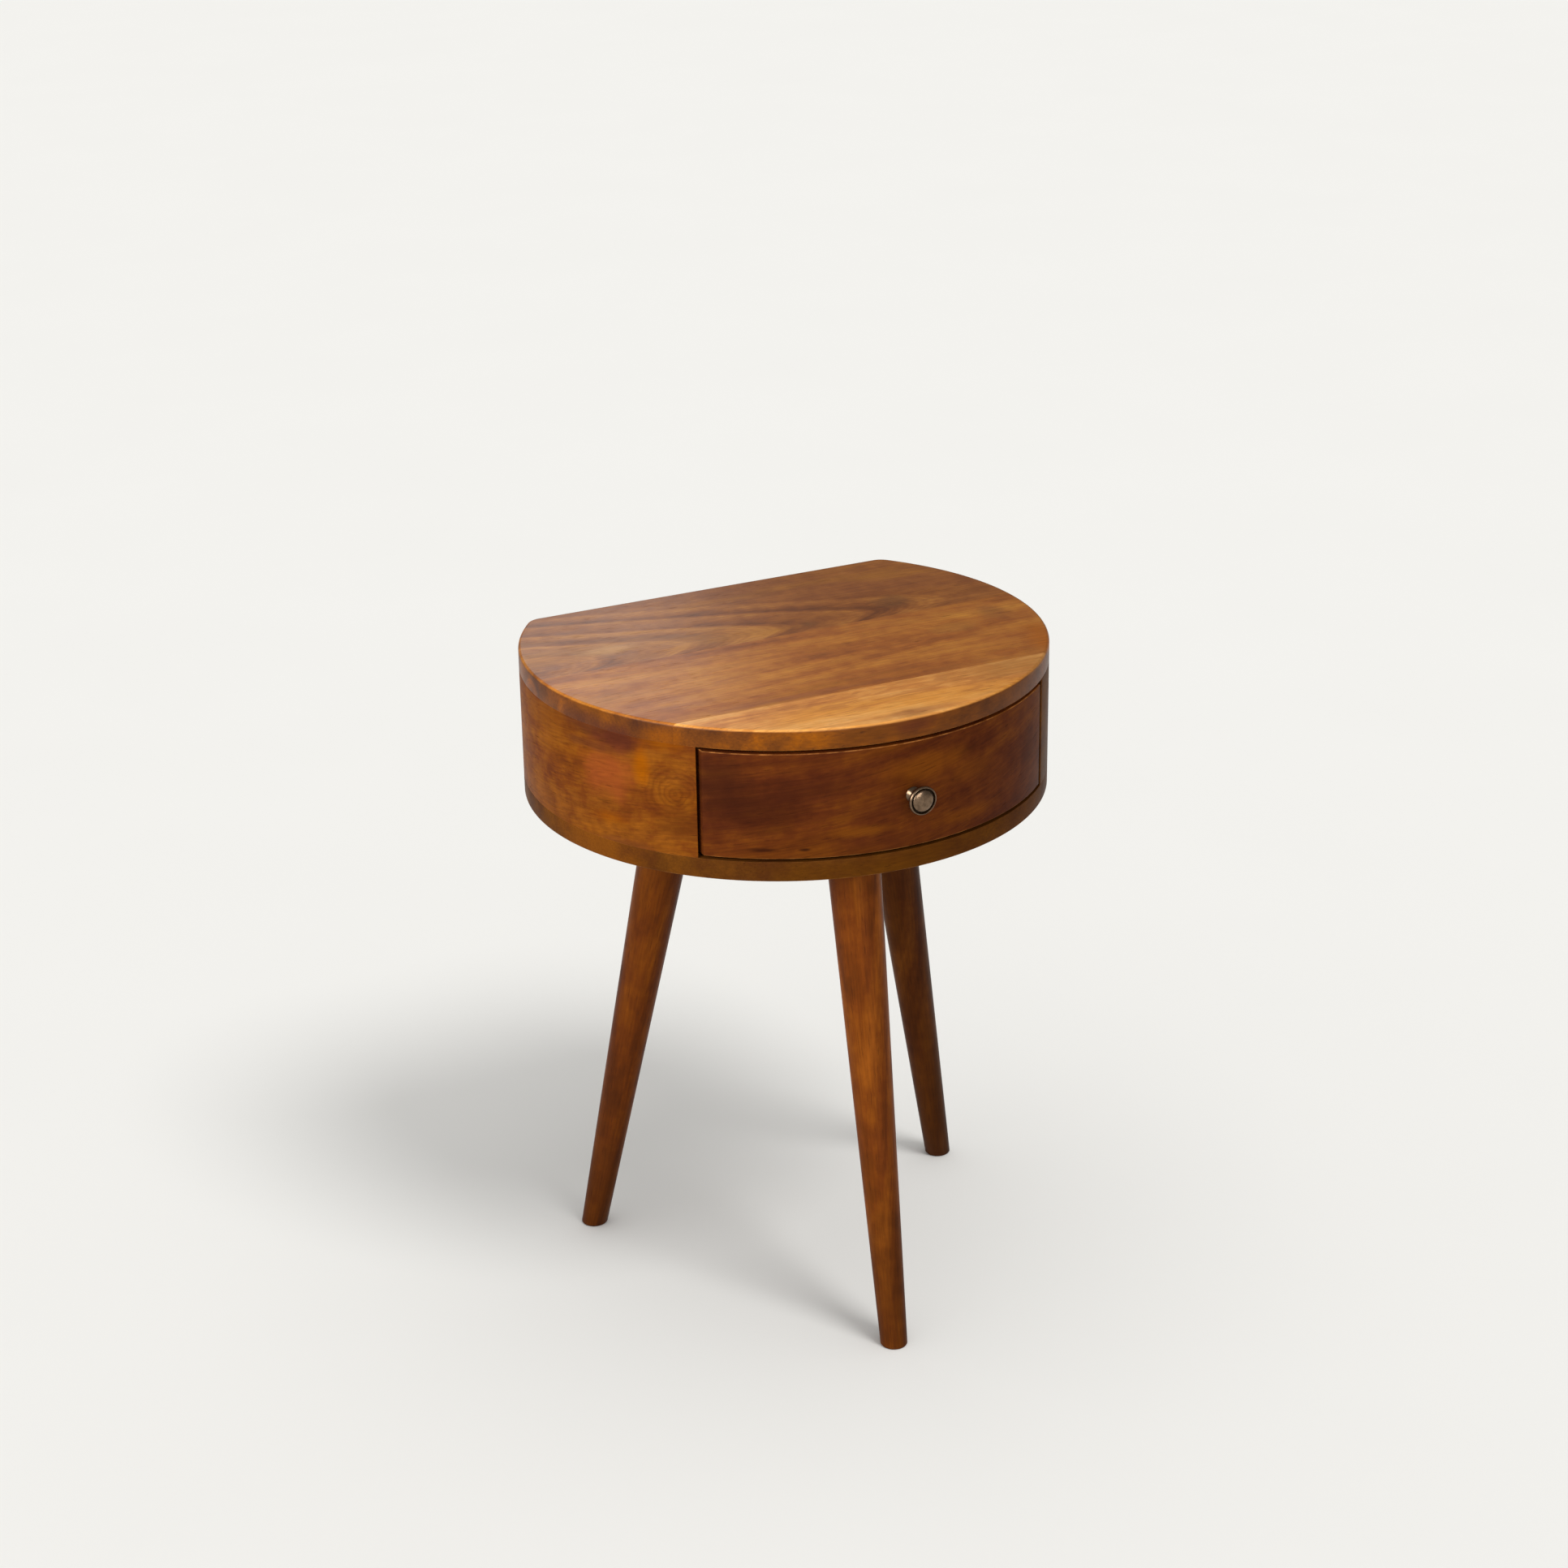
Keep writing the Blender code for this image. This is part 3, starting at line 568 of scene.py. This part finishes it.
def metal(name, colour, tarnish, roughness, groove=None):
    """Metal with clouds and specks of tarnish, and fine roughness in its relief.
    A groove is (centre, radius, reach) of a ring round an axis along Y, where shade is painted dark into the
    metal."""
    tree = Tree(name)
    where = tree.place()
    cloud = tree.noise(where, 240, 4, 0.6)
    speck = tree.noise(where, 1800, 3, 0.6)
    tint = tree.mix(tree.between(cloud, 0.35, 0.75, 0, 0.6), linear(colour), linear(tarnish))
    tint = tree.mix(tree.between(speck, 0.66, 0.78, 0, 0.3), tint, linear(tarnish))
    if groove:
        centre, radius, reach = groove
        outwards = tree.vector("MULTIPLY", tree.vector("SUBTRACT", where, centre), (1, 0, 1))
        beside = tree.math("ABSOLUTE", tree.math("SUBTRACT", tree.vector("LENGTH", outwards), radius))
        # Painted shade darkens the metal along the groove
        tint = tree.mix(tree.between(beside, reach, reach / 4, 0, 0.85), tint, linear(GROOVE_SHADE_TINT))
    gloss = tree.math("ADD", roughness, tree.math("MULTIPLY", tree.math("SUBTRACT", cloud, 0.4), 0.2))
    tree.bump(speck, 0.00001, 0.3)
    return tree.finish(tint, gloss, metallic=1.0)


# ---------------------------------------------------------------- the table's pieces


# Patches of stain, each as (tint, place, size along X, Y and Z, strength)
SHARED_BLOTS = (
    ("4c2614", (-0.212, -0.018, 0.551), (0.030, 0.040, 0.011), 0.70),
    ("482014", (-0.202, -0.048, 0.543), (0.026, 0.030, 0.014), 0.85),
    ("7c4000", (-0.180, -0.086, 0.551), (0.028, 0.026, 0.012), 0.60),
)
TOP_BLOTS = (
    ("cc9450", (-0.149, 0.089, 0.566), (0.034, 0.013, 0.004), 0.60),
    ("68401e", (0.122, 0.082, 0.566), (0.022, 0.018, 0.004), 0.55),
    ("6a4220", (0.032, 0.066, 0.566), (0.012, 0.012, 0.004), 0.45),
    ("c08030", (0.138, -0.002, 0.566), (0.034, 0.014, 0.004), 0.45),
    ("7a4622", (0.186, 0.014, 0.566), (0.018, 0.026, 0.004), 0.45),
    ("8a4a2a", (-0.060, -0.088, 0.566), (0.110, 0.007, 0.004), 0.55),
    ("b06000", (0.192, -0.072, 0.566), (0.022, 0.055, 0.006), 0.85),
    ("a86e30", (0.130, -0.110, 0.566), (0.070, 0.030, 0.004), 0.55),
    ("8a4e2c", (0.006, -0.163, 0.566), (0.044, 0.008, 0.004), 0.45),
    ("542414", (0.004, -0.170, 0.560), (0.026, 0.016, 0.008), 0.55),
)
WALL_BLOTS = (
    ("84401a", (-0.206, -0.042, 0.512), (0.028, 0.040, 0.026), 0.70),
    ("4e2616", (-0.212, -0.024, 0.532), (0.020, 0.050, 0.005), 0.55),
    ("502818", (-0.200, -0.052, 0.452), (0.030, 0.036, 0.009), 0.50),
    ("8a4800", (-0.190, -0.071, 0.523), (0.008, 0.012, 0.022), 0.75),
    ("844402", (-0.206, -0.040, 0.474), (0.020, 0.026, 0.008), 0.50),
    ("52290a", (-0.168, -0.100, 0.482), (0.026, 0.030, 0.018), 0.60),
)
# Whorls, each as (tint, place, reach along X, Y and Z, number of rings, strength)
WALL_WHORLS = (
    ("4a2208", (-0.172, -0.095, 0.507), (0.034, 0.034, 0.030), 7, 0.30),
)
DRAWER_BLOTS = (
    ("34160a", (-0.146, -0.121, 0.520), (0.034, 0.034, 0.032), 0.70),
    ("321408", (-0.121, -0.140, 0.496), (0.045, 0.040, 0.024), 0.60),
    ("3a180a", (-0.086, -0.158, 0.516), (0.040, 0.030, 0.010), 0.55),
    ("78400a", (0.015, -0.175, 0.523), (0.050, 0.030, 0.014), 0.60),
    ("6e3a0a", (0.060, -0.168, 0.508), (0.030, 0.030, 0.012), 0.40),
    ("74400a", (-0.045, -0.170, 0.476), (0.034, 0.030, 0.006), 0.50),
    ("6e3a08", (0.056, -0.168, 0.471), (0.050, 0.030, 0.007), 0.45),
    ("260e06", (-0.118, -0.142, 0.464), (0.016, 0.016, 0.0025), 0.75),
    ("260e06", (-0.088, -0.158, 0.464), (0.006, 0.006, 0.0018), 0.80),
    ("361608", (0.134, -0.130, 0.500), (0.012, 0.018, 0.026), 0.40),
)


def half_round():
    """The outline that the top and the bottom share."""
    outline = arc(RADIUS, -CORNER_ANGLE, CORNER_ANGLE, TOP_ARC_STEPS) + back_corner()
    return outline + [(-x, y) for x, y in reversed(back_corner())]


def cut_away(shape, y, direction):
    """Cuts away what lies beyond a joint, towards the back (1) or the front (-1), and closes the cut."""
    everything = shape.verts[:] + shape.edges[:] + shape.faces[:]
    cut = bmesh.ops.bisect_plane(shape, geom=everything, plane_co=(0, y, 0), plane_no=(0, direction, 0),
                                 clear_outer=True)
    rim = [e for e in cut["geom_cut"] if isinstance(e, bmesh.types.BMEdge)]
    bmesh.ops.contextual_create(shape, geom=rim)


def top_woods():
    """The finishes of the top's back, middle and front board."""
    # The rounded rims are paler for wear and for a painted highlight along them
    surface = dict(specular=0.07, roughness=0.36, side_palette=EDGE_TONES, blots=SHARED_BLOTS + TOP_BLOTS,
                   mottle=0.14, worn=0.30)
    rear_pith_z = top_high.z - 0.024
    front_pith_z = top_high.z - 0.040
    return (
        stained_wood("top_wood_back", (1, 0, 0), (0, 0.070, rear_pith_z), 3.1, TOP_TONES, **surface,
                     spacing=0.0248, lean=0.30, phase=0.794, last=3, fine_lines=8, figure=0.46, streaks=0.12,
                     streak_count=30, mauve=0.30, gold=0.45),
        stained_wood("top_wood_middle", (1, 0, 0), (0, -0.003, rear_pith_z), 8.4, MIDDLE_TONES, **surface,
                     spacing=0.020, lean=0.12, phase=0.88, last=3, figure=0.20, streaks=0.22,
                     streak_count=42, mauve=0.15, gold=0.45),
        stained_wood("top_wood_front", (1, 0, 0), (0, -0.220, front_pith_z), 5.7, FRONT_BOARD_TONES,
                     **surface, spacing=0.014, figure=0.12, streaks=0.24, streak_count=34, mauve=0.15,
                     gold=0.40, flecks=0.55),
    )


def add_top():
    """The top, glued up from three boards, each with its own figure."""
    joints = (BACK_Y - BOARD_WIDTH, BACK_Y - 2 * BOARD_WIDTH)
    boards = (("back", None, joints[0]), ("middle", joints[0], joints[1]), ("front", joints[1], None))
    for (name, back, front), finish in zip(boards, top_woods()):
        shape = rounded_slab(half_round(), top_low.z, top_high.z, SEAM_EDGE, TOP_EDGE)
        if back is not None:
            cut_away(shape, back, 1)
        if front is not None:
            cut_away(shape, front, -1)
        new_piece(f"top_board_{name}", shape, "carcass", finish, ["top_panel"])


def add_bottom():
    """The board under the drawer, with its lower edge rubbed paler and painted with a highlight, and painted
    light on its left end.
    """
    finish = stained_wood("bottom_wood", (1, 0, 0), (0, 0, bottom_low.z - 0.06), 12.6, BOTTOM_TONES,
                          figure=0.06, streaks=0.14, streak_count=30, mottle=0.22, worn=0.25, specular=0.01,
                          # The golden patch on the left end is painted light
                          blots=[("74400e", (-0.215, -0.030, 0.446), (0.035, 0.080, 0.030), 0.60)])
    shape = rounded_slab(half_round(), bottom_low.z, bottom_high.z, LOWER_EDGE, SEAM_EDGE)
    new_piece("bottom_board", shape, "carcass", finish, ["bottom_panel"])


def right_wall_outline():
    """The right wall from above: from the drawer's opening round the corner to the back, and back inside."""
    start = math.asin(OPENING_HALF / RADIUS)
    inner_start = math.asin(OPENING_HALF / INNER_RADIUS)
    inner_end = math.pi - math.acos((FLAT - PANEL) / INNER_RADIUS)
    outline = arc(RADIUS, start, CORNER_ANGLE, WALL_ARC_STEPS) + back_corner()
    outline += [(BACK_PANEL_HALF, BACK_Y), (BACK_PANEL_HALF, BACK_Y - PANEL)]
    return outline + arc(INNER_RADIUS, inner_end, inner_start, WALL_INNER_STEPS)


def add_walls():
    """The two curved side walls."""
    for name, side in SIDES:
        # The right wall takes the darker palette as painted shade
        tones = BODY_TONES if side < 0 else SHADED_RIGHT_WALL_TONES
        finish = stained_wood(f"{name}_wall_wood", (1, 0, 0.1), (0, -0.03, MIDDLE_Z), 20 + side, tones,
                              wrapped=True, spacing=0.012, warp=0.024, figure=0.08, streaks=0.22,
                              streak_count=32, mottle=0.26, speckle=0.14, specular=0.01,
                              blots=SHARED_BLOTS + WALL_BLOTS, whorls=WALL_WHORLS)
        outline = filleted(mirrored(right_wall_outline(), side), SEAM_EDGE + FLAT_MARGIN)
        shape = rounded_slab(outline, bottom_high.z, top_low.z, SEAM_EDGE, SEAM_EDGE, hollowed=True)
        new_piece(f"{name}_wall", shape, "carcass", finish, [f"{name}_side"])


def add_back():
    """The flat board between the walls at the back."""
    finish = stained_wood("back_wood", (1, 0, 0), (0.02, BACK_Y + 0.03, MIDDLE_Z), 31.0, BODY_TONES)
    half = BACK_PANEL_HALF
    outline = [(-half, BACK_Y - PANEL), (half, BACK_Y - PANEL), (half, BACK_Y), (-half, BACK_Y)]
    outline = filleted(outline, SEAM_EDGE + FLAT_MARGIN)
    shape = rounded_slab(outline, bottom_high.z, top_low.z, SEAM_EDGE, SEAM_EDGE)
    new_piece("back_board", shape, "carcass", finish, ["back_panel"])


def add_drawer_front():
    """The curved board that closes the opening, with a softened edge all round."""
    outer_angle = math.asin(front_high.x / RADIUS)
    inner_angle = math.asin(front_high.x / INNER_RADIUS)
    outline = arc(RADIUS, -outer_angle, outer_angle, DRAWER_ARC_STEPS)
    outline += arc(INNER_RADIUS, inner_angle, -inner_angle, DRAWER_INNER_STEPS)
    outline = filleted(outline, DRAWER_EDGE + FLAT_MARGIN)
    finish = stained_wood("drawer_front_wood", (1, 0, 0.16), (0, -0.05, front_low.z - 0.02), 44.0,
                          DRAWER_TONES, wrapped=True, spacing=0.016, lean=0.03, warp=0.014, figure=0.10,
                          streaks=0.34, streak_count=36, mottle=0.18, speckle=0.10, specular=0.015,
                          # Its rounded edges are paler for wear and for a painted highlight along them
                          worn=0.55, blots=DRAWER_BLOTS)
    shape = rounded_slab(outline, front_low.z, front_high.z, DRAWER_EDGE, DRAWER_EDGE, hollowed=True)
    new_piece("curved_drawer_front", shape, "drawer", finish, ["drawer_front"])


def leg_shape(foot, top):
    """A leg that tapers down to its foot and leans out, with level ends and a rounded foot."""
    axis = Vector((*(top - foot), bottom_low.z))
    lean = axis.normalized().to_2d()
    levels = [(0.0, FOOT_EDGE), (FOOT_EDGE / 4, FOOT_EDGE / 2), (FOOT_EDGE, 0.0)]
    levels += [(bottom_low.z * i / LEG_LEVELS, 0.0) for i in range(1, LEG_LEVELS + 1)]
    rings = []
    for z, rounding in levels:
        share = z / bottom_low.z
        centre = foot.lerp(top, share)
        radius = LEG_FOOT_RADIUS + (LEG_TOP_RADIUS - LEG_FOOT_RADIUS) * share - rounding
        ring = []
        for i in range(LEG_SECTORS):
            angle = math.tau * i / LEG_SECTORS
            out = Vector((math.cos(angle), math.sin(angle)))
            stretch = 1 / math.sqrt(1 - lean.dot(out) ** 2)
            ring.append((*(centre + out * radius * stretch), z))
        rings.append(ring)
    return stack(rings)


def add_legs():
    """Three turned legs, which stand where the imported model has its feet."""
    feet = {}
    for mount in frame["record"]["mounts"]:
        if mount["name"].endswith("_foot"):
            feet[mount["name"].replace("_foot", "_leg")] = Vector(mount["pos_m"][:2])
    middle = sum(feet.values(), Vector((0, 0))) / len(feet)
    for number, (name, foot) in enumerate(feet.items()):
        top = middle + (foot - middle) * TOP_TO_FOOT_REACH
        grain = (*(top - foot), bottom_low.z)
        pith = (*(foot + Vector((0.006, 0.004))), 0)
        # A lighter palette paints light on the front leg, and a darker one paints shade on the back right
        # leg
        tones = dict(front_leg=LIT_FRONT_LEG_TONES, back_right_leg=SHADED_LEG_TONES).get(name, LEG_TONES)
        # Painted shade, darker towards each foot
        shade = (LEG_FOOT_SHADE_TINT, (*foot, 0.03), (0.06, 0.06, 0.13), 0.50)
        finish = stained_wood(f"{name}_wood", grain, pith, 50 + 7 * number, tones, spacing=0.006,
                              lean=0.012, warp=0.006, mottle=0.16, blots=[shade])
        new_piece(f"turned_{name}", leg_shape(foot, top), "carcass", finish, [name])


def add_knob():
    """A disc with a thin raised rim round a low dome, on a short neck that flares into a foot.
    Its profile is (radius, height) from the drawer front outwards."""
    reach = knob_high.y - knob_low.y
    profile = [(0.0064, 0), (0.0065, 0.0006), (0.0060, 0.0014), (0.0050, 0.0026), (0.0042, 0.0042),
               (0.0038, reach - 0.0128), (0.0041, reach - 0.0108), (0.0052, reach - 0.0088),
               (0.0080, reach - 0.0072), (0.0104, reach - 0.0064), (0.0116, reach - 0.0056),
               (0.01215, reach - 0.0047), (0.01225, reach - 0.0038), (0.0121, reach - 0.0029),
               (0.0117, reach - 0.0023), (0.0113, reach - 0.0020), (0.0109, reach - 0.0021),
               (0.0105, reach - 0.0028), (0.0101, reach - 0.0036), (0.0097, reach - 0.0036)]
    dome_radius = 0.0094
    dome_rise = 0.0032
    groove_radius = 0.0100
    groove_reach = 0.0008
    for i in range(DOME_STEPS):
        turn = math.pi / 2 * i / DOME_STEPS
        profile.append((dome_radius * math.cos(turn), reach - dome_rise * (1 - math.sin(turn))))
    centre = (0, knob_high.y, (knob_low.z + knob_high.z) / 2)
    finish = metal("knob_brass", "7a6450", "3a2c20", 0.26, groove=(centre, groove_radius, groove_reach))
    shape = lathe(profile, centre, (0, -1, 0), KNOB_SECTORS)
    new_piece("turned_knob", shape, "drawer", finish, ["knob"])


# The finish of each carried-over node, by the first of these words that is in its name
INNER_KINDS = (
    ("dowel", "dowel"),
    ("insert", "insert"),
    ("bolt", "steel"),
    ("screw", "steel"),
    ("washer", "steel"),
    ("guide", "strip"),
    ("kicker", "strip"),
    ("rear_stop", "strip"),
    ("stop_rail", "rail"),
    ("drawer_back", "box_back"),
    ("drawer_bottom", "ply"),
    ("drawer_left_side", "box"),
    ("drawer_right_side", "box"),
)
BOARD_KINDS = ("strip", "rail", "box", "box_back", "ply")


def soften_edges(node):
    """Rounds the edges of a carried-over board a little."""
    soften = node.modifiers.new("softened edges", "BEVEL")
    soften.width = BOARD_EDGE
    soften.segments = 2
    soften.limit_method = "ANGLE"
    soften.angle_limit = math.radians(40)


def finish_inner_pieces():
    """Gives the carried-over nodes their finish, and the boards among them a softened edge."""
    finishes = {
        "strip": plain_wood("plain_inner_wood", (0, 1, 0), 61.0, INNER_TONES),
        "rail": plain_wood("stop_rail_wood", (1, 0, 0), 63.0, INNER_TONES),
        "box": plain_wood("drawer_box_wood", (0, 1, 0), 65.0, DRAWER_BOX_TONES, 0.48),
        "box_back": plain_wood("drawer_back_wood", (1, 0, 0), 67.0, DRAWER_BOX_TONES, 0.48),
        "ply": layered_ply("drawer_bottom_plywood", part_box("drawer_bottom")[0].z, PLY_THICKNESS),
        "dowel": plain_wood("dowel_beech", (0, 0, 1), 69.0, BEECH_TONES),
        "steel": metal("plated_steel", "a9a7a1", "77736c", 0.28),
        "insert": metal("insert_brass", "b08a4a", "7c5c2c", 0.30),
    }
    for name, node in frame["nodes"].items():
        kind = next((finish for word, finish in INNER_KINDS if word in name), None)
        if kind is None:
            continue
        node.data.materials.clear()
        node.data.materials.append(finishes[kind])
        if kind in BOARD_KINDS:
            soften_edges(node)
        node.data.shade_smooth()
        node.data.set_sharp_from_angle(angle=SHARP_EDGE_ANGLE)


# ---------------------------------------------------------------- studio and camera


def add_floor():
    """A plain pale floor, 40 m square."""
    half = 20
    mesh = bpy.data.meshes.new("studio_floor")
    shape = bmesh.new()
    bmesh.ops.create_grid(shape, x_segments=1, y_segments=1, size=half)
    shape.to_mesh(mesh)
    shape.free()
    floor = bpy.data.objects.new("studio_floor", mesh)
    bpy.context.scene.collection.objects.link(floor)
    tree = Tree("studio_floor")
    mottle = tree.noise(tree.place(), 3, 2)
    colour = tree.mix(mottle, linear("eeede9"), linear("f0efeb"))
    mesh.materials.append(tree.finish(colour, 1.0))
    tree.shader.inputs["Specular IOR Level"].default_value = 0
    return floor


def aim(obj, place, target):
    """Puts an object at a place and points its -Z axis at the target."""
    obj.location = place
    obj.rotation_mode = "QUATERNION"
    obj.rotation_quaternion = (Vector(target) - Vector(place)).to_track_quat("-Z", "Y")


def add_light(name, kind, place, target, energy, receivers):
    """A light that falls only on the receivers, so that floor and table are lit each in their own way."""
    light = bpy.data.lights.new(name, kind)
    light.energy = energy
    obj = bpy.data.objects.new(name, light)
    bpy.context.scene.collection.objects.link(obj)
    aim(obj, place, target)
    obj.visible_camera = False
    obj.light_linking.receiver_collection = receivers
    return light


def add_floor_sun(name, place, energy, spread, receivers):
    """A sun that shines from the place towards the origin, with its spread in degrees."""
    light = add_light(name, "SUN", place, (0, 0, 0), energy, receivers)
    light.angle = math.radians(spread)


def add_softbox(name, place, target, size, power, receivers):
    """A rectangular light, with its size in metres and its power in watts."""
    light = add_light(name, "AREA", place, target, power, receivers)
    light.shape = "RECTANGLE"
    light.size, light.size_y = size


def collected(name, objects):
    """A collection of the objects, for a light to fall on."""
    collection = bpy.data.collections.new(name)
    for obj in objects:
        collection.objects.link(obj)
    return collection


def add_world():
    """Even ambient light, behind a paler backdrop that only the camera sees."""
    world = bpy.data.worlds.new("studio")
    bpy.context.scene.world = world
    world.use_nodes = True
    nodes = world.node_tree.nodes
    links = world.node_tree.links
    ambient = nodes["Background"]
    ambient.inputs["Color"].default_value = (1, 1, 1, 1)
    ambient.inputs["Strength"].default_value = 0.30
    backdrop = nodes.new("ShaderNodeBackground")
    backdrop.inputs["Color"].default_value = linear("f0efeb")
    seen = nodes.new("ShaderNodeLightPath")
    either = nodes.new("ShaderNodeMixShader")
    links.new(seen.outputs["Is Camera Ray"], either.inputs[0])
    links.new(ambient.outputs[0], either.inputs[1])
    links.new(backdrop.outputs[0], either.inputs[2])
    links.new(either.outputs[0], nodes["World Output"].inputs["Surface"])


def add_studio():
    """The floor is lit by three suns of growing spread, and the table by three softboxes."""
    add_world()
    table = collected("lit_by_softboxes", [o for o in bpy.context.scene.objects if o.type == "MESH"])
    floor = collected("lit_by_floor_suns", [add_floor()])
    add_floor_sun("shadow_sun", (0.35, -0.93, 1.40), 1.24, 21, floor)
    add_floor_sun("fill_sun", (0.0, -0.08, 1.2), 0.60, 64, floor)
    add_floor_sun("dome_sun", (0, 0, 1), 0.72, 150, floor)
    add_softbox("left_softbox", (-1.45, -0.45, 1.1), (0, 0, 0.5), (0.9, 0.9), 29, table)
    add_softbox("front_softbox", (-0.20, -1.55, 1.1), (0, 0, 0.5), (0.9, 0.9), 15, table)
    add_softbox("sheen_softbox", (0.22, 1.25, 1.12), (-0.15, 0, 0.566), (0.5, 0.4), 2.7, table)
    bpy.context.scene.view_settings.view_transform = "Standard"


def add_camera():
    """The camera stands to the left of the front and looks down on the top.
    Its angles are in radians, and its focal length and sensor in millimetres."""
    place = (-1.1520, -2.2376, 1.4674)
    azimuth = -0.4659
    elevation = 0.3849
    roll = -0.0157
    focal_length = 73.354
    ahead = Vector((-math.sin(azimuth) * math.cos(elevation), math.cos(azimuth) * math.cos(elevation),
                    -math.sin(elevation)))
    level = Vector((math.cos(azimuth), math.sin(azimuth), 0))
    upward = level.cross(ahead)
    right = math.cos(roll) * level + math.sin(roll) * upward
    above = right.cross(ahead)
    lens = bpy.data.cameras.new("camera")
    lens.sensor_width = 36
    lens.lens = focal_length
    lens.clip_start = 0.1
    lens.clip_end = 100
    camera = bpy.data.objects.new("camera", lens)
    bpy.context.scene.collection.objects.link(camera)
    turn = Matrix((right, above, -ahead)).transposed().to_4x4()
    camera.matrix_world = Matrix.Translation(place) @ turn
    bpy.context.scene.camera = camera


add_camera()
add_top()
add_bottom()
add_walls()
add_back()
add_drawer_front()
add_legs()
add_knob()
finish_inner_pieces()
add_studio()
